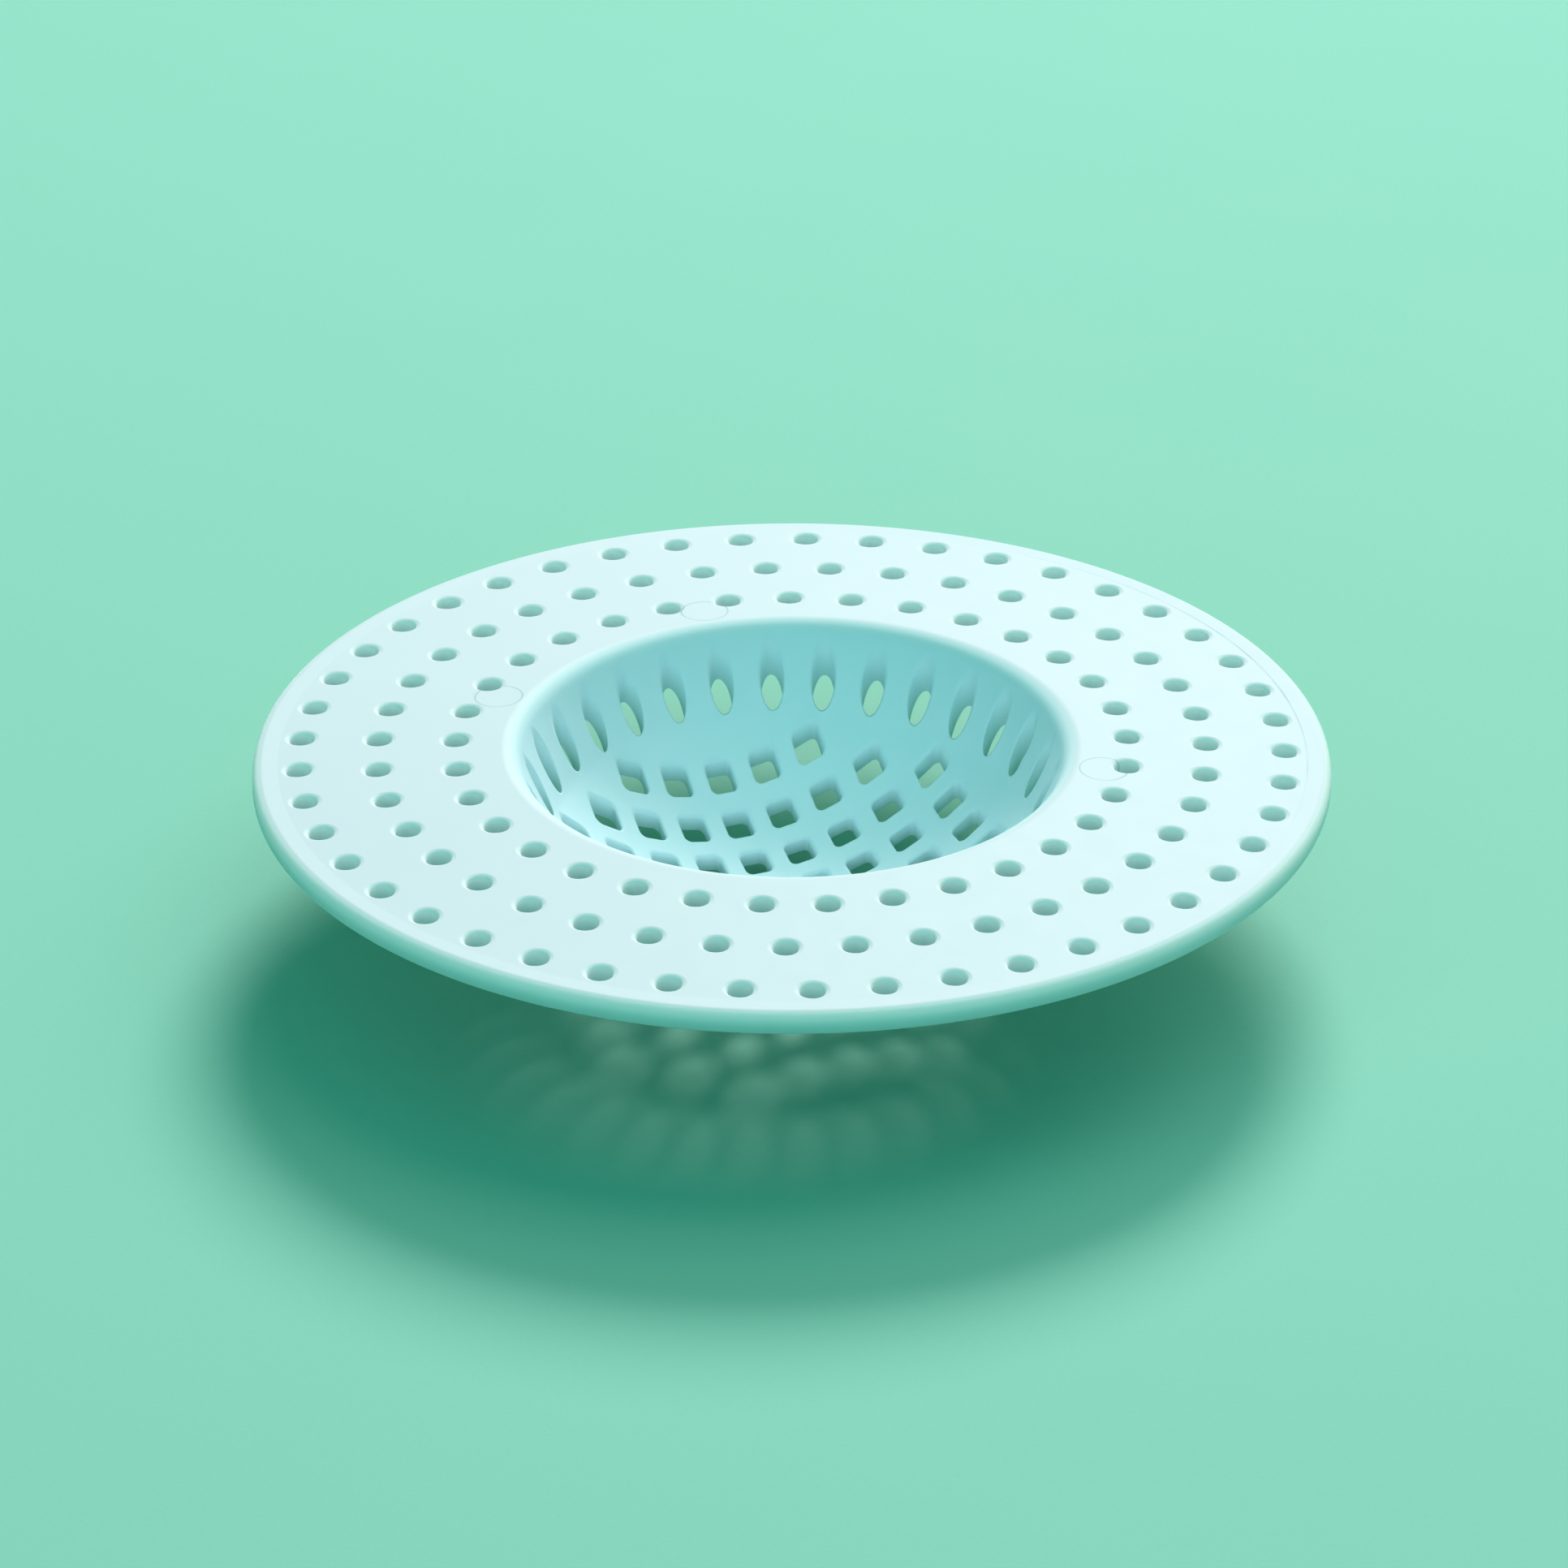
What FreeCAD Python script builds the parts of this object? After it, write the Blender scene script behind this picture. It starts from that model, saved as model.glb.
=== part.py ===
"""Sink strainer: a moulded disc whose drilled flange surrounds a sieve basket.

The mould opens straight up and down, so every hole has upright walls. The moulding is divided into
four solids at the circles where its form changes: rim, flange, collar and basket. Lengths are in
millimetres, angles in degrees, and the foot stands on z = 0.
"""

import FreeCAD, Part
import math
import os

# Moulding
rim_diameter = 114.0
flange_height = 22.5       # from the foot to the unrounded corner of the mouth
flange_thickness = 2.4     # measured straight down
basket_wall = 1.6          # measured square to the bowl
foot_diameter = 14.0       # flat disc that the basket stands on

# Flange and rim
flange_fall = 2.8          # degrees that the flange falls towards the rim
rim_land = 2.7             # width of the level land along the rim
rim_rounding = 1.1

# Mouth and bowl, from the top down
mouth_rounding = 2.2
wall_angle = 66.0          # degrees above level of the wall under the mouth
bowl_angle = 49.5          # degrees above level of the bowl's edge, where the wall starts
bowl_radius = 33.0
bend_steps = 3             # straight bands that draw each rounding

# Round holes of the flange, ring by ring from the mouth outwards
flange_hole_diameter = 3.0
first_ring_gap = 4.8       # from the mouth's rounding to the first ring's hole centres
last_ring_gap = 2.2        # from the last ring's hole centres to the rim land
ring_counts = (33, 39, 45)
ring_turns = (3.1, 1.4, 0.2)
hole_sides = 8             # flats that draw each round hole or slot

# Slots of the collar
slot_count = 30
slot_turn = -1.5
slot_width = 2.5
slot_top_gap = 0.45        # from the mouth's rounding to the slots' outer ends
slot_foot_gap = 0.25       # from the bowl's edge to the slots' inner ends

# Square holes of the basket
square_side = 2.9
square_pitch = 5.12
square_turn = 22.0
grid_margin = 0.1          # least land between a square's corner and the edge of the basket

overrun = 1.0              # how far cutters pass the faces that they cut
full_turn = 360.0


def point(radius, height):
    return FreeCAD.Vector(radius, 0, height)


def slope(angle):
    """Unit direction in the section, at an angle above level."""
    return point(math.cos(math.radians(angle)), math.sin(math.radians(angle)))


def on_arc(centre, radius, angle):
    """Point of an arc where it climbs at an angle; a negative radius puts the centre below the curve."""
    return centre - slope(angle + full_turn / 4) * radius


def arc(centre, radius, start, end):
    spots = [on_arc(centre, radius, angle) for angle in (start, (start + end) / 2, end)]
    return Part.Arc(*spots).toShape()


def bend(centre, radius, start, end):
    """Points of an arc that is drawn as straight bands."""
    angles = [start + (end - start) * step / bend_steps for step in range(bend_steps + 1)]
    return [on_arc(centre, radius, angle) for angle in angles]


def run(spots):
    """Straight edges from point to point."""
    return [Part.LineSegment(start, end).toShape() for start, end in zip(spots, spots[1:])]


# Section of the top surface
rim_radius = rim_diameter / 2
land_radius = rim_radius - rim_land
fall_rate = math.tan(math.radians(flange_fall))
bowl_centre = point(0, basket_wall + bowl_radius)
bowl_edge = on_arc(bowl_centre, bowl_radius, bowl_angle)
mouth_corner = bowl_edge + slope(wall_angle) * ((flange_height - bowl_edge.z) / slope(wall_angle).z)
mouth_tangent = mouth_rounding * math.tan(math.radians((wall_angle + flange_fall) / 2))
wall_end = mouth_corner - slope(wall_angle) * mouth_tangent
flange_start = mouth_corner + slope(-flange_fall) * mouth_tangent
mouth_centre = flange_start - slope(full_turn / 4 - flange_fall) * mouth_rounding
flange_end = flange_start + slope(-flange_fall) * ((land_radius - flange_start.x) / slope(flange_fall).x)
rim_centre = point(rim_radius - rim_rounding, flange_end.z - rim_rounding)

# Section of the underside
land_bottom = flange_end - point(0, flange_thickness)
foot_radius = foot_diameter / 2
outer_bowl = bowl_radius + basket_wall
outer_edge = on_arc(bowl_centre, outer_bowl, bowl_angle)
foot_angle = 2 * math.degrees(math.atan(foot_radius / outer_bowl))
root_rise = land_bottom.z - outer_edge.z + (land_bottom.x - outer_edge.x) * fall_rate
root_corner = outer_edge + slope(wall_angle) * (root_rise / (slope(wall_angle).z + slope(wall_angle).x * fall_rate))

# Rows of holes
slot_length = wall_end.x - bowl_edge.x - slot_top_gap - slot_foot_gap
slot_middle = wall_end.x - slot_top_gap - slot_length / 2
first_ring = flange_start.x + first_ring_gap
last_ring = land_radius - last_ring_gap
cut_top = flange_height + overrun
cut_height = cut_top + overrun


def section():
    """The whole moulding's section, from the axis to the rim and back underneath."""
    mouth = bend(mouth_centre, -mouth_rounding, wall_angle, -flange_fall)
    rim = bend(rim_centre, -rim_rounding, 0, -full_turn / 4)
    edges = [arc(bowl_centre, bowl_radius, 0, bowl_angle)]
    edges += run([bowl_edge] + mouth + [flange_end] + rim)
    edges += run([rim[-1], point(rim_radius, land_bottom.z), land_bottom, root_corner, outer_edge])
    edges += [arc(bowl_centre, outer_bowl, bowl_angle, foot_angle)]
    edges += run([on_arc(bowl_centre, outer_bowl, foot_angle), point(foot_radius, 0), point(0, 0)])
    edges += run([point(0, 0), point(0, basket_wall)])
    return Part.Face(Part.Wire(edges))


def zone(inner, outer):
    """Solid of revolution of the part of the section between two radii."""
    window = run([point(inner, 0), point(outer, 0), point(outer, cut_top), point(inner, cut_top), point(inner, 0)])
    strip = section().common(Part.Face(Part.Wire(window))).Faces[0]
    return strip.revolve(point(0, 0), FreeCAD.Vector(0, 0, 1), full_turn).Solids[0]


def upright(corners):
    """Cutter that stands on an outline and passes through the whole height."""
    outline = Part.makePolygon(corners + corners[:1])
    prism = Part.Face(outline).extrude(FreeCAD.Vector(0, 0, cut_height))
    return prism.translated(FreeCAD.Vector(0, 0, -overrun))


def turned(shape, angle):
    copy = shape.copy()
    copy.rotate(point(0, 0), FreeCAD.Vector(0, 0, 1), angle)
    return copy


def oval_ring(radius, length, width, count, turn):
    """Upright oval cutters in a ring; their corners lie as far outside the oval as their flats lie inside."""
    spread = 1 / math.sqrt(math.cos(math.pi / hole_sides))
    corners = []
    for side in range(hole_sides):
        angle = 2 * math.pi * side / hole_sides
        along = radius + spread * length / 2 * math.cos(angle)
        corners.append(FreeCAD.Vector(along, spread * width / 2 * math.sin(angle), 0))
    cutter = upright(corners)
    return [turned(cutter, turn + full_turn * index / count) for index in range(count)]


def flange_holes():
    """Round holes in rings that are evenly spaced across the flange."""
    step = (last_ring - first_ring) / (len(ring_counts) - 1)
    cutters = []
    for ring, (count, turn) in enumerate(zip(ring_counts, ring_turns)):
        cutters += oval_ring(first_ring + ring * step, flange_hole_diameter, flange_hole_diameter, count, turn)
    return cutters


def square_holes():
    """Square holes on a square grid about the axis, as many as the basket holds."""
    half = square_side / 2
    cutter = upright([FreeCAD.Vector(x * half, y * half, 0) for x, y in ((1, -1), (1, 1), (-1, 1), (-1, -1))])
    reach = bowl_edge.x - grid_margin
    steps = math.ceil(reach / square_pitch)
    cutters = []
    for column in range(-steps, steps + 1):
        for row in range(-steps, steps + 1):
            if math.hypot(abs(column) * square_pitch + half, abs(row) * square_pitch + half) <= reach:
                place = FreeCAD.Vector(column * square_pitch, row * square_pitch, 0)
                cutters.append(turned(cutter.translated(place), square_turn))
    return cutters


slots = oval_ring(slot_middle, slot_length, slot_width, slot_count, slot_turn)
pieces = {
    "rim_edge": zone(land_radius, rim_radius),
    "perforated_flange": zone(flange_start.x, land_radius).cut(flange_holes()),
    "slotted_collar": zone(bowl_edge.x, flange_start.x).cut(slots),
    "grid_basket": zone(0, bowl_edge.x).cut(square_holes()),
}

os.makedirs("parts", exist_ok=True)
for name, shape in pieces.items():
    solid = shape.Solids[0]
    solid.exportStep(os.path.join("parts", name + ".step"))
    box = solid.BoundBox
    print(name, "solids", len(shape.Solids), "valid", solid.isValid(), "volume %.1f" % solid.Volume,
          "z %.2f to %.2f" % (box.ZMin, box.ZMax), "across %.2f" % box.XLength)
print("square holes", len(square_holes()), "basket radius %.2f" % bowl_edge.x)
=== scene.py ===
"""Sink strainer in pale aqua plastic on a mint floor, lit softly from behind.

Every solid of the frame is replaced by a finished mesh of the same zone of the moulding: true
roundings at mouth, shoulder, root and rim, and round holes, ovals and rounded squares with soft lips.
Lengths are in millimetres until a mesh, a node or a lamp takes them, and angles are in degrees.
"""

import math

import bpy
import numpy as np
from mathutils import Matrix, Vector
from mathutils.geometry import delaunay_2d_cdt


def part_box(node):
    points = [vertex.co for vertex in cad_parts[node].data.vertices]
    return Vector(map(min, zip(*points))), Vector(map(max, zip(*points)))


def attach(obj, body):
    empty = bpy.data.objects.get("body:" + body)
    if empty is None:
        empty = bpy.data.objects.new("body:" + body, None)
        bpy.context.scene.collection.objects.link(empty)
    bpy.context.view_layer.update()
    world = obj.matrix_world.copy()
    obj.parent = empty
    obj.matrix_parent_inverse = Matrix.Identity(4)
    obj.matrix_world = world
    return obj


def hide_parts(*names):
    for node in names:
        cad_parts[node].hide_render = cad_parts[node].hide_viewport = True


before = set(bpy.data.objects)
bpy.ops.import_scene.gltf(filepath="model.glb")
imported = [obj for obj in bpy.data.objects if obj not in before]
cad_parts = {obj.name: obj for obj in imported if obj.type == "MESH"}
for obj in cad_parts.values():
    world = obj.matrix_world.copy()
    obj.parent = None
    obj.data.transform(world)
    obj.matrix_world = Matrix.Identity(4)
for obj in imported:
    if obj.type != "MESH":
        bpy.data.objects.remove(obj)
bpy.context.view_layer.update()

MM = 0.001
QUARTER = 90.0
HALF = 180.0
FULL = 360.0

# Sockets of a Mix node that mixes colours, and the kind of triangulation that fills the convex hull
MIX_FACTOR, MIX_LOW, MIX_HIGH, MIX_RESULT = 0, 6, 7, 2
FILL_HULL = 0

# Moulding, from the frame where it shows the size, else as in the part's source
rim_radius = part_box("rim_edge")[1].x / MM
bowl_edge_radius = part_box("grid_basket")[1].x / MM
flange_height = 22.5            # from the foot to the unrounded corner of the mouth
flange_thickness = 2.4          # measured straight down
basket_wall = 1.6               # measured square to the bowl
foot_radius = 7.0
flange_fall = 2.8               # angle at which the flange falls towards the rim
rim_land = 2.7                  # width of the level land along the rim
wall_angle = 66.0               # climb of the wall under the mouth
bowl_angle = 49.5               # climb of the bowl's edge, where the wall starts

# Roundings
rim_rounding = 1.1
rim_under_rounding = 0.4
mouth_rounding = 2.2
shoulder_rounding = 4.0
root_rounding = 1.0
foot_rounding = 1.0

# Holes
flange_hole = 2.5               # below the lip
first_ring_gap = 4.8            # from the mouth's rounding to the first ring's hole centres
last_ring_gap = 2.2             # from the last ring's hole centres to the rim's land
ring_counts = (33, 39, 45)
ring_turns = (3.1, 1.4, 0.2)
slot_count = 30
slot_turn = -1.5
slot_width = 2.5
slot_top_gap = 0.45             # from the mouth's rounding to the slots' outer ends
slot_foot_gap = 0.25            # from the bowl's edge to the slots' inner ends
square_side = 2.9
square_corner = 0.65
square_pitch = 5.12
square_turn = 22.0
grid_margin = 0.1               # least land between an unrounded square's corner and the bowl's edge

# Lips of the holes, as rounding radii
flange_lip = 0.65
slot_top_lip = 0.5
slot_foot_lip = 0.22
square_lip = 0.45
under_lip = 0.15

# Fineness of the meshes: points of a loop, steps of a rounding, and gaps between the points of a face
circle_points = 480
hole_points = 40
lip_steps = 4
arc_samples = 60
flange_mesh = 2.2
collar_mesh = 0.35
basket_mesh = 0.8
tiny = 1e-7                     # points closer than this are one

# Colours of the plastic, where a pair holds both ends of a gradual change
# Painted light: one plastic in two colours, the bowl painted brighter and bluer than the flange's face,
# standing in for how light falls on each
inside_colours = ((0.775, 0.905, 0.97), (0.795, 0.925, 0.99))   # clouds inside the bowl
face_colours = ((0.745, 0.74, 0.805), (0.765, 0.76, 0.825))     # clouds on the flange's face
# Painted glow and shade on the flange's edges, hole walls and underside: near white at the top, deeper
# below
edge_glow_and_shade_colours = ((0.58, 0.70, 0.71), (0.97, 0.97, 0.98))         # flange's edges, from below to the top
# Painted shade on the slots' and squares' walls, deepest furthest in
sieve_wall_shade_colour = (0.52, 0.69, 0.70)                          # slots' and squares' walls, deep in
# Colour of the pin rings and of the painted shade along the rim's crease
mark_and_crease_shade_colour = (0.40, 0.52, 0.55)

# Finish of the plastic; a noise has the size of its features and its detail
cloud_noise = (14.0, 2.0)
gloss_noise = (3.0, 3.0)
texture_noise = (0.35, 2.0)
texture_height = 0.03
texture_strength = 0.12
plastic_roughness = (0.5, 0.57)
plastic_specular = 0.22

# Light in the plastic: how deep down the flange's edges the painted glow fades into painted shade, how
# deep light scatters in the rim's edge, and the tilts between which the flange and the bowl turn into
# edges that carry painted glow and shade
painted_glow_depth = 2.1
scatter_depth = 2.2
scatter_shares = (1.0, 1.0, 1.0)    # of that depth, for red, green and blue
flange_turn = (4.0, 34.0)
bowl_turn = (70.0, 84.0)

# Dark marks: witness rings of the mould's pins, and painted shade in a line along the crease at the rim's
# land that fades away from one spot of the rim
pin_turns = (160.0, 106.5, -10.0)
pin_circle = 33.3
pin_diameter = 5.1
rim_line_radius = 54.5
rim_line_turn = 24.0
rim_line_reach = 45.0
mark_width = 0.16
mark_noise = (4.0, 1.0)
mark_strength = (-0.1, 1.6)

# Camera and floor
camera_target = (-0.81, 0.0, 17.58)
camera_distance = 878.3
camera_elevation = 27.4
camera_roll = 0.1
camera_lens = 190.3
sensor_width = 36.0
floor_size = 6000.0
floor_gap = 0.02
floor_colours = ((0.25, 0.585, 0.45), (0.27, 0.615, 0.48))
floor_grain_noise = (0.5, 3.0)
floor_gloss_noise = (40.0, 2.0)
floor_roughness = (0.74, 0.78)

# Light
lamp_distance = 2500.0
key_lamp = {"azimuth": 80.0, "elevation": 38.0, "width": 950.0, "power": 49.0}
side_lamp = {"azimuth": 50.0, "elevation": 55.0, "width": 2900.0, "power": 25.0}
wall_light = (0.01, 0.14, 0.088)
ceiling_light = (0.15, 0.66, 0.60)
ceiling_azimuth = -100.0
ceiling_elevation = 48.0
ceiling_edge = (75.0, 20.0)     # angles from the ceiling's middle between which the walls turn into it


def slope(angle):
    """Unit direction in the section, at an angle above level."""
    return np.array([math.cos(math.radians(angle)), math.sin(math.radians(angle))])


def on_arc(centre, radius, angle):
    """Point of an arc where it climbs at an angle; a negative radius puts the centre below the curve."""
    return centre - slope(angle + QUARTER) * radius


def arc(centre, radius, start, end):
    """Samples of an arc: radius, height and climb."""
    angles = np.linspace(start, end, arc_samples)
    return np.array([[*on_arc(centre, radius, angle), angle] for angle in angles])


def rounded_corner(corner, radius, start, end):
    """Arc that rounds the corner between two straight runs with given climbs, the second one flatter."""
    reach = radius * math.tan(math.radians((start - end) / 2))
    centre = corner + slope(end) * reach - slope(end + QUARTER) * radius
    return arc(centre, -radius, start, end)


def rounded_shoulder(centre, radius, rounding):
    """Climb where the bowl's arc ends, and the rounding that leads from there into the steeper wall."""
    turn = math.radians(wall_angle - bowl_angle)
    rounded_turn = math.acos((radius * math.cos(turn) - rounding) / (radius - rounding))
    start = wall_angle - math.degrees(rounded_turn)
    return start, arc(centre - slope(start + QUARTER) * (radius - rounding), rounding, start, wall_angle)


def ring(radius, count):
    """Plan points that are evenly spaced on a circle about the axis."""
    angles = 2 * math.pi * np.arange(count) / count
    return radius * np.column_stack([np.cos(angles), np.sin(angles)])


def turned(spots, angle):
    """Plan points turned about the axis."""
    across = slope(angle)
    return spots @ np.array([across, [-across[1], across[0]]])


class Profile:
    """Curve of a surface of revolution from the axis outwards: height, climb and travel by radius."""

    def __init__(self, runs):
        self.radius, self.height, self.climb = np.concatenate(runs).T
        steps = np.hypot(np.diff(self.radius), np.diff(self.height))
        self.travel = np.concatenate([[0], np.cumsum(steps)])

    def lift(self, spots, side):
        """Points of the surface over plan points, with the normals of its upper (1) or lower (-1) side."""
        radius = np.hypot(*spots.T)
        outward = spots / radius[:, None]
        climb = np.radians(np.interp(radius, self.radius, self.climb))
        points = np.column_stack([spots, np.interp(radius, self.radius, self.height)])
        normals = np.column_stack([outward * -np.sin(climb)[:, None], np.cos(climb)]) * side
        return points, normals

    def unrolled(self, spots):
        """Plan points moved out to their travel along the curve, so that steep walls get room."""
        radius = np.hypot(*spots.T)
        return spots * (np.interp(radius, self.radius, self.travel) / radius)[:, None]

    def even_fill(self, inner, outer, gap):
        """Plan points on circles that divide a zone evenly along the curve."""
        start, end = np.interp([inner, outer], self.radius, self.travel)
        stops = np.linspace(start, end, round((end - start) / gap) + 1)[1:-1]
        radii = np.interp(stops, self.travel, self.radius)
        return np.concatenate([ring(radius, math.ceil(2 * math.pi * radius / gap)) for radius in radii])


# Section of the top
land_radius = rim_radius - rim_land
bowl_radius = bowl_edge_radius / math.sin(math.radians(bowl_angle))
bowl_centre = np.array([0, basket_wall + bowl_radius])
bowl_edge = on_arc(bowl_centre, bowl_radius, bowl_angle)
wall_climb = slope(wall_angle)
mouth_corner = bowl_edge + wall_climb * ((flange_height - bowl_edge[1]) / wall_climb[1])
mouth = rounded_corner(mouth_corner, mouth_rounding, wall_angle, -flange_fall)
wall_end_radius = mouth[0][0]
flange_start_radius = mouth[-1][0]
fall_rate = math.tan(math.radians(flange_fall))
land_top = mouth[-1][1] - (land_radius - flange_start_radius) * fall_rate
shoulder_start, shoulder = rounded_shoulder(bowl_centre, bowl_radius, shoulder_rounding)
top = Profile([
    arc(bowl_centre, bowl_radius, 0, shoulder_start),
    shoulder,
    mouth,
    [[land_radius, land_top, -flange_fall]],
])

# Section of the underside
land_bottom = land_top - flange_thickness
outer_bowl = bowl_radius + basket_wall
outer_edge = on_arc(bowl_centre, outer_bowl, bowl_angle)
foot_angle = 2 * math.degrees(math.atan(foot_radius / outer_bowl))
foot_reach = foot_rounding * math.tan(math.radians(foot_angle / 2))
foot_centre = np.array([foot_radius - foot_reach, foot_rounding])
root_rise = land_bottom - outer_edge[1] + (land_radius - outer_edge[0]) * fall_rate
root_corner = outer_edge + wall_climb * (root_rise / (wall_climb[1] + wall_climb[0] * fall_rate))
under_start, under_shoulder = rounded_shoulder(bowl_centre, outer_bowl, shoulder_rounding + basket_wall)
underside = Profile([
    [[0, 0, 0]],
    arc(foot_centre, foot_rounding, 0, foot_angle),
    arc(bowl_centre, outer_bowl, foot_angle, under_start),
    under_shoulder,
    rounded_corner(root_corner, root_rounding, wall_angle, -flange_fall),
    [[land_radius, land_bottom, -flange_fall]],
])


class Outline:
    """Closed loop of plan points, anticlockwise, with directions that point into the plastic."""

    def __init__(self, spots, directions):
        self.spots = spots
        self.directions = directions

    def placed(self, shift, angle):
        """Loop that is shifted and then turned about the axis."""
        return Outline(turned(self.spots + shift, angle), turned(self.directions, angle))

    def grown(self, amount):
        """Wider loop, by one amount or by an amount for each point."""
        return Outline(self.spots + self.directions * np.reshape(amount, (-1, 1)), self.directions)

    def distance(self, spots):
        """How far plan points lie outside this outline, which is convex; negative inside."""
        return np.max(spots @ self.directions.T - np.sum(self.spots * self.directions, axis=1), axis=1)


def oval(length, width):
    """Ellipse about the axis, with its length along X."""
    unit = ring(1, hole_points)
    across = unit / (length, width)
    return Outline(unit * (length / 2, width / 2), across / np.linalg.norm(across, axis=1)[:, None])


def rounded_square(side, corner):
    """Square whose corners are quarter circles and whose sides are straight."""
    middle = side / 2 - corner
    unit = turned(ring(1, hole_points), FULL / hole_points / 2)
    return Outline(np.sign(unit) * middle + unit * corner, unit)


def past_border(face, spots, directions, owners):
    """Whether all corners of a face lie on one border, on the side that stays open."""
    first = face[0]
    if owners[first] < 0 or len(set(owners[face])) > 1:
        return False
    return np.dot(spots[face].mean(axis=0) - spots[first], directions[first]) < 0


class Skin:
    """Vertices with their normals, and faces, of one closed mesh."""

    def __init__(self):
        self.points = []
        self.normals = []
        self.faces = []

    def add(self, points, normals):
        """Add vertices and return their numbers."""
        start = len(self.points)
        self.points.extend(points)
        self.normals.extend(normals)
        return np.arange(start, len(self.points))

    def strip(self, first, second):
        """Quads between two closed loops of the same count."""
        self.faces.extend(zip(first, np.roll(first, -1), np.roll(second, -1), second))

    def sheet(self, profile, side, borders, inside):
        """Upper or lower side of a zone, open past its borders; returns the borders' vertices."""
        spots = np.concatenate([border.spots for border in borders] + [inside])
        directions = np.concatenate([border.directions for border in borders])
        counts = [len(border.spots) for border in borders]
        loops = np.split(np.arange(sum(counts)), np.cumsum(counts)[:-1])
        edges = [edge for loop in loops for edge in zip(loop, np.roll(loop, -1))]
        owners = np.full(len(spots), -1)
        for number, loop in enumerate(loops):
            owners[loop] = number
        flat = [Vector(spot) for spot in profile.unrolled(spots)]
        faces, origins = delaunay_2d_cdt(flat, edges, [], FILL_HULL, tiny)[2:4]
        vertices = self.add(*profile.lift(spots, side))
        for face in faces:
            face = [origins[corner][0] for corner in face[::side]]
            if not past_border(face, spots, directions, owners):
                self.faces.append(vertices[face])
        return [vertices[loop] for loop in loops]

    def lip(self, profile, side, hole, rounding):
        """Loops that round a hole's edge, from the surface to the hole's wall."""
        loops = []
        for turn in np.linspace(0, math.pi / 2, lip_steps + 1)[1:]:
            spots = hole.grown(rounding * (1 - math.sin(turn))).spots
            points, normals = profile.lift(spots, side)
            points[:, 2] -= side * rounding * (1 - math.cos(turn))
            normals *= math.cos(turn)
            normals[:, :2] -= hole.directions * math.sin(turn)
            loops.append(self.add(points, normals / np.linalg.norm(normals, axis=1)[:, None]))
        return loops

    def make(self, node, material):
        """Make the object that stands for a node of the frame."""
        mesh = bpy.data.meshes.new(node)
        faces = [[int(corner) for corner in face] for face in self.faces]
        mesh.from_pydata(np.array(self.points) * MM, [], faces)
        mesh.polygons.foreach_set("use_smooth", [True] * len(faces))
        mesh.normals_split_custom_set_from_vertices(self.normals)
        mesh.materials.append(material)
        piece = bpy.data.objects.new(node + "_finish", mesh)
        bpy.context.scene.collection.objects.link(piece)
        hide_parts(node)
        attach(piece, "root")


def drilled_zone(inner, outer, holes, rounding, gap):
    """Zone of the moulding between two radii, with upright holes whose edges are rounded."""
    skin = Skin()
    circle = ring(1, circle_points)
    circles = [Outline(circle * outer, -circle)]
    if inner:
        circles.append(Outline(circle * inner, circle))
    sides = []
    for profile, side, edge in ((top, 1, rounding), (underside, -1, under_lip)):
        openings = [hole.grown(edge) for hole in holes]
        fill = profile.even_fill(inner, outer, gap)
        for opening in openings:
            fill = fill[opening.distance(fill) > gap / 2]
        sides.append(skin.sheet(profile, side, circles + openings, fill))
    upper, lower = sides
    skin.strip(lower[0], upper[0])
    if inner:
        skin.strip(upper[1], lower[1])
    for hole, high, low in zip(holes, upper[len(circles):], lower[len(circles):]):
        walls = [high] + skin.lip(top, 1, hole, rounding)
        walls += skin.lip(underside, -1, hole, under_lip)[::-1] + [low]
        for first, second in zip(walls, walls[1:]):
            skin.strip(first, second)
    return skin


def rim_zone():
    """Level land and rounded edge of the flange, turned about the axis."""
    high = np.array([rim_radius - rim_rounding, land_top - rim_rounding])
    low = np.array([rim_radius - rim_under_rounding, land_bottom + rim_under_rounding])
    stations = np.concatenate([
        [[land_radius, land_top, 0]],
        arc(high, -rim_rounding, 0, -QUARTER),
        arc(low, -rim_under_rounding, -QUARTER, -HALF),
        [[land_radius, land_bottom, -HALF]],
    ])
    skin = Skin()
    circle = ring(1, circle_points)
    loops = []
    for radius, height, climb in stations:
        outward, up = slope(climb + QUARTER)
        points = np.column_stack([circle * radius, np.full(circle_points, height)])
        normals = np.column_stack([circle * outward, np.full(circle_points, up)])
        loops.append(skin.add(points, normals))
    for first, second in zip(loops, loops[1:] + loops[:1]):
        skin.strip(second, first)
    return skin


def hole_ring(shape, radius, count, turn):
    """Copies of a hole, evenly spaced about the axis."""
    return [shape.placed((radius, 0), turn + FULL * index / count) for index in range(count)]


def flange_holes():
    """Round holes in rings that are evenly spaced across the flange."""
    first = flange_start_radius + first_ring_gap
    last = land_radius - last_ring_gap
    radii = np.linspace(first, last, len(ring_counts))
    holes = []
    for radius, count, turn in zip(radii, ring_counts, ring_turns):
        holes += hole_ring(oval(flange_hole, flange_hole), radius, count, turn)
    return holes


def collar_slots():
    """Ring of ovals between the bowl's edge and the mouth's rounding."""
    length = wall_end_radius - bowl_edge_radius - slot_top_gap - slot_foot_gap
    middle = wall_end_radius - slot_top_gap - length / 2
    return hole_ring(oval(length, slot_width), middle, slot_count, slot_turn)


def slot_lips():
    """Lip's rounding at each point of a slot, widest at the upper end."""
    outward = ring(1, hole_points)[:, 0]
    return slot_foot_lip + (slot_top_lip - slot_foot_lip) * (1 + outward) / 2


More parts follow.
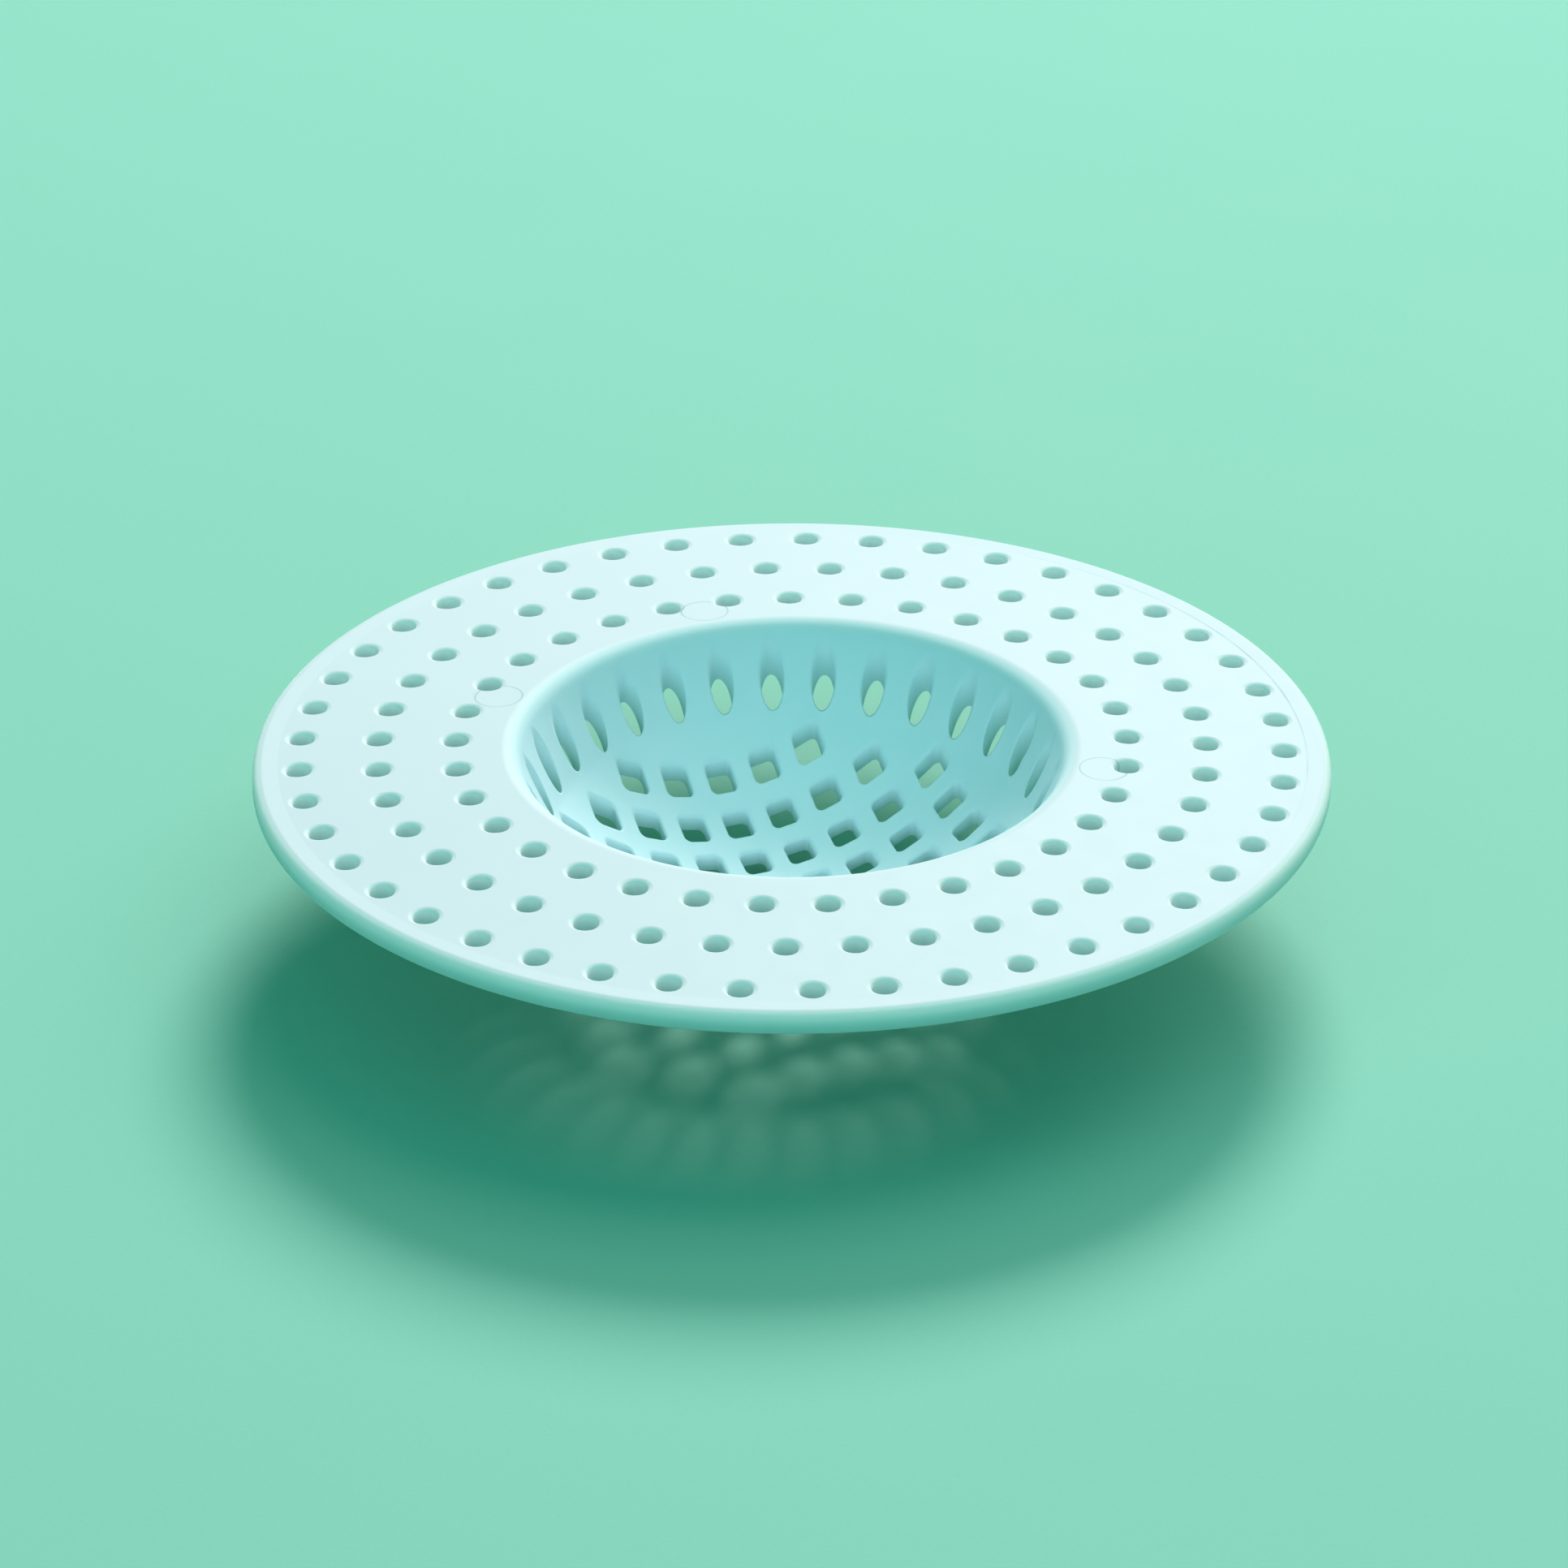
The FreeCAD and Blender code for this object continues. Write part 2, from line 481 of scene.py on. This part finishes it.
def basket_squares():
    """Square holes on a square grid about the axis, as many as the basket holds."""
    shape = rounded_square(square_side, square_corner)
    half = square_side / 2
    reach = bowl_edge_radius - grid_margin
    steps = math.ceil(reach / square_pitch)
    holes = []
    for column in range(-steps, steps + 1):
        for row in range(-steps, steps + 1):
            if math.hypot(abs(column) * square_pitch + half, abs(row) * square_pitch + half) <= reach:
                holes.append(shape.placed((column * square_pitch, row * square_pitch), square_turn))
    return holes


class Nodes:
    """Node tree of a material or of the world, filled node by node."""

    def __init__(self, owner, shader):
        owner.use_nodes = True
        self.owner = owner
        self.tree = owner.node_tree
        self.shader = self.tree.nodes[shader]

    def fill(self, node, inputs):
        """Link each given input of a node to a socket, or set it to a constant; colours are opaque."""
        for key, value in inputs.items():
            socket = node.inputs[key]
            if isinstance(value, bpy.types.NodeSocket):
                self.tree.links.new(value, socket)
            elif socket.type == "RGBA":
                socket.default_value = (*value, 1)
            else:
                socket.default_value = value

    def new(self, kind, inputs, **settings):
        """Node of a kind, with its settings and inputs."""
        node = self.tree.nodes.new(kind)
        for key, value in settings.items():
            setattr(node, key, value)
        self.fill(node, inputs)
        return node

    def combine(self, operation, first, second):
        """Result of an operation on two numbers."""
        return self.new("ShaderNodeMath", {0: first, 1: second}, operation=operation).outputs["Value"]

    def vector(self, operation, first, second, result="Vector"):
        """Result of an operation on two vectors, a vector or a number."""
        return self.new("ShaderNodeVectorMath", {0: first, 1: second}, operation=operation).outputs[result]

    def place(self):
        """Point of the surface, in metres."""
        return self.new("ShaderNodeTexCoord", {}).outputs["Object"]

    def height(self, vector):
        """Upright part of a vector."""
        return self.new("ShaderNodeSeparateXYZ", {"Vector": vector}).outputs["Z"]

    def plan_distance(self, spot=(0, 0)):
        """Distance in metres from the upright line through a plan point, or from the axis."""
        offset = self.vector("SUBTRACT", self.place(), Vector((*spot, 0)) * MM)
        level = self.vector("MULTIPLY", offset, (1, 1, 0))
        return self.new("ShaderNodeVectorMath", {0: level}, operation="LENGTH").outputs["Value"]

    def noise(self, size, detail):
        """Noise in object space whose features are about a size in millimetres."""
        inputs = {"Vector": self.place(), "Scale": 1 / (size * MM), "Detail": detail}
        return self.new("ShaderNodeTexNoise", inputs).outputs["Fac"]

    def mix(self, factor, low, high):
        """Colour between two colours, by a factor from 0 to 1."""
        inputs = {MIX_FACTOR: factor, MIX_LOW: low, MIX_HIGH: high}
        return self.new("ShaderNodeMix", inputs, data_type="RGBA").outputs[MIX_RESULT]

    def spread(self, factor, low, high):
        """Number between two numbers, by a factor from 0 to 1."""
        inputs = {"Value": factor, "To Min": low, "To Max": high}
        return self.new("ShaderNodeMapRange", inputs).outputs["Result"]

    def smooth(self, value, start, end):
        """Factor that goes smoothly from 0 at one value to 1 at another."""
        inputs = {"Value": value, "From Min": start, "From Max": end}
        return self.new("ShaderNodeMapRange", inputs, interpolation_type="SMOOTHSTEP").outputs["Result"]

    def ramp(self, distance, start, end):
        """Factor that goes smoothly from 0 at one distance to 1 at another, both in millimetres."""
        return self.smooth(distance, start * MM, end * MM)

    def steepness(self, low, high):
        """Factor that is 0 on faces up to a low tilt and 1 from a high tilt on, the underside included."""
        normal = self.new("ShaderNodeNewGeometry", {}).outputs["Normal"]
        return self.smooth(self.height(normal), slope(low)[0], slope(high)[0])

    def circle(self, spot, radius):
        """Factor that is 1 along a thin line, a circle about a plan point."""
        offset = self.combine("SUBTRACT", self.plan_distance(spot), radius * MM)
        return self.ramp(self.combine("ABSOLUTE", offset, 0), mark_width, 0)


def pin_rings_and_crease_shade(nodes):
    """Factor of faint dark lines: witness rings of the mould's ejector pins, and painted shade along the
    crease at the rim's land that fades away from one spot.
    """
    middle = slope(rim_line_turn) * rim_line_radius
    nearness = nodes.ramp(nodes.plan_distance(middle), rim_line_reach, 0)
    lines = nodes.combine("MULTIPLY", nodes.circle((0, 0), rim_line_radius), nearness)
    for turn in pin_turns:
        lines = nodes.combine("MAXIMUM", lines, nodes.circle(slope(turn) * pin_circle, pin_diameter / 2))
    return nodes.combine("MULTIPLY", lines, nodes.spread(nodes.noise(*mark_noise), *mark_strength))


def flange_depth(nodes):
    """Distance in metres straight down from the flange's top."""
    fall = nodes.combine("MULTIPLY", nodes.plan_distance(), fall_rate)
    level = nodes.combine("ADD", fall, nodes.height(nodes.place()))
    return nodes.combine("SUBTRACT", (land_top + land_radius * fall_rate) * MM, level)


def bowl_depth(nodes):
    """Distance in metres into the plastic, past the bowl's sphere or past the steeper wall above it."""
    place = nodes.place()
    reach = nodes.vector("DISTANCE", place, Vector((0, *bowl_centre)) * MM, "Value")
    past_sphere = nodes.combine("SUBTRACT", reach, bowl_radius * MM)
    across, up = wall_climb
    outward = nodes.combine("MULTIPLY", nodes.plan_distance(), up)
    upward = nodes.combine("MULTIPLY", nodes.height(place), across)
    wall = nodes.combine("ADD", upward, (bowl_edge[0] * up - bowl_edge[1] * across) * MM)
    past_wall = nodes.combine("SUBTRACT", outward, wall)
    return nodes.combine("MAXIMUM", past_sphere, past_wall)


def rim_scatter(nodes):
    """Factor that is 1 on the rim's edge, and 0 on its level faces and on the rest of the moulding."""
    low, high = flange_turn
    past_top = nodes.steepness(low, high)
    upright = nodes.combine("SUBTRACT", past_top, nodes.steepness(HALF - high, HALF - low))
    outside = nodes.ramp(nodes.plan_distance(), land_radius, rim_radius - rim_rounding)
    return nodes.combine("MULTIPLY", upright, outside)


def bowl_colour(nodes, clouds):
    """Colour of the bowl, with painted shade on its hole walls and underside that deepens further into the
    plastic.
    """
    inside = nodes.mix(clouds, *inside_colours)
    hole = nodes.mix(nodes.ramp(bowl_depth(nodes), 0, basket_wall), inside, sieve_wall_shade_colour)
    return nodes.mix(nodes.steepness(*bowl_turn), inside, hole)


def flange_colour(nodes, clouds):
    """Colour of flange and rim, with painted light: the face painted less green than the bowl, and edges,
    hole walls and underside painted pale at the top as painted glow and deeper below as painted shade.
    """
    face = nodes.mix(clouds, *face_colours)
    edge = nodes.mix(nodes.ramp(flange_depth(nodes), painted_glow_depth, 0), *edge_glow_and_shade_colours)
    return nodes.mix(nodes.steepness(*flange_turn), face, edge)


def mould_texture(nodes):
    """Normal of a surface with the fine texture of the mould."""
    height = nodes.noise(*texture_noise)
    inputs = {"Height": height, "Strength": texture_strength, "Distance": texture_height * MM}
    return nodes.new("ShaderNodeBump", inputs).outputs["Normal"]


def aqua_plastic():
    """Satin moulded plastic with slight cloudiness, in which light scatters at the rim's edge, with
    painted glow and painted shade on its edges, hole walls and underside, and a bowl painted brighter than
    the flange.
    """
    nodes = Nodes(bpy.data.materials.new("aqua_plastic"), "Principled BSDF")
    clouds = nodes.noise(*cloud_noise)
    # Painted light: the bowl's colour inside the mouth, the flange's colour outside it
    outside = nodes.ramp(nodes.plan_distance(), wall_end_radius, flange_start_radius)
    clean = nodes.mix(outside, bowl_colour(nodes, clouds), flange_colour(nodes, clouds))
    nodes.fill(nodes.shader, {
        # The pin rings, and painted shade along the crease at the rim's land
        "Base Color": nodes.mix(pin_rings_and_crease_shade(nodes), clean, mark_and_crease_shade_colour),
        "Roughness": nodes.spread(nodes.noise(*gloss_noise), *plastic_roughness),
        "Specular IOR Level": plastic_specular,
        "Subsurface Weight": rim_scatter(nodes),
        "Subsurface Radius": scatter_shares,
        "Subsurface Scale": scatter_depth * MM,
        "Normal": mould_texture(nodes),
    })
    return nodes.owner


def mint_floor():
    """Matt floor with a faint grain."""
    nodes = Nodes(bpy.data.materials.new("mint_floor"), "Principled BSDF")
    nodes.fill(nodes.shader, {
        "Base Color": nodes.mix(nodes.noise(*floor_grain_noise), *floor_colours),
        "Roughness": nodes.spread(nodes.noise(*floor_gloss_noise), *floor_roughness),
    })
    return nodes.owner


def lay_floor():
    """Square floor just below the foot."""
    half = floor_size / 2
    spots = ((-half, -half), (half, -half), (half, half), (-half, half))
    mesh = bpy.data.meshes.new("floor")
    mesh.from_pydata([Vector((x, y, -floor_gap)) * MM for x, y in spots], [], [(0, 1, 2, 3)])
    mesh.materials.append(mint_floor())
    floor = bpy.data.objects.new("floor", mesh)
    bpy.context.scene.collection.objects.link(floor)


def looking(place, target):
    """Placement whose -Z axis points from a place to a target, with +Y up."""
    return Matrix.Translation(place) @ (target - place).to_track_quat("-Z", "Y").to_matrix().to_4x4()


def toward(azimuth, elevation):
    """Unit direction from the strainer."""
    level, height = slope(elevation)
    return Vector((*(level * slope(azimuth)), height))


def add_lamp(name, azimuth, elevation, width, power):
    """Round soft lamp that faces the strainer."""
    light = bpy.data.lights.new(name, "AREA")
    light.shape = "DISK"
    light.size = width * MM
    light.energy = power
    lamp = bpy.data.objects.new(name, light)
    lamp.matrix_world = looking(toward(azimuth, elevation) * lamp_distance * MM, Vector((0, 0, 0)))
    bpy.context.scene.collection.objects.link(lamp)


def surround():
    """Mint fill from all sides, with a paler and brighter ceiling above the viewer."""
    nodes = Nodes(bpy.data.worlds.new("fill"), "Background")
    direction = nodes.new("ShaderNodeTexCoord", {}).outputs["Generated"]
    middle = toward(ceiling_azimuth, ceiling_elevation)
    nearness = nodes.vector("DOT_PRODUCT", direction, middle, "Value")
    ceiling = nodes.smooth(nearness, *[slope(angle)[0] for angle in ceiling_edge])
    nodes.fill(nodes.shader, {"Color": nodes.mix(ceiling, wall_light, ceiling_light)})
    bpy.context.scene.world = nodes.owner


def add_camera():
    """Camera in front of the strainer, above it and slightly rolled."""
    camera = bpy.data.cameras.new("camera")
    camera.lens = camera_lens
    camera.sensor_width = sensor_width
    viewer = bpy.data.objects.new("camera", camera)
    target = Vector(camera_target) * MM
    back, up = slope(camera_elevation) * camera_distance * MM
    place = target + Vector((0, -back, up))
    viewer.matrix_world = looking(place, target) @ Matrix.Rotation(math.radians(-camera_roll), 4, "Z")
    bpy.context.scene.collection.objects.link(viewer)
    bpy.context.scene.camera = viewer


plastic = aqua_plastic()
rim = rim_zone()
flange = drilled_zone(flange_start_radius, land_radius, flange_holes(), flange_lip, flange_mesh)
collar = drilled_zone(bowl_edge_radius, flange_start_radius, collar_slots(), slot_lips(), collar_mesh)
basket = drilled_zone(0, bowl_edge_radius, basket_squares(), square_lip, basket_mesh)
rim.make("rim_edge", plastic)
flange.make("perforated_flange", plastic)
collar.make("slotted_collar", plastic)
basket.make("grid_basket", plastic)

lay_floor()
add_lamp("key", **key_lamp)
add_lamp("side", **side_lamp)
surround()
add_camera()
bpy.context.scene.view_settings.view_transform = "Standard"
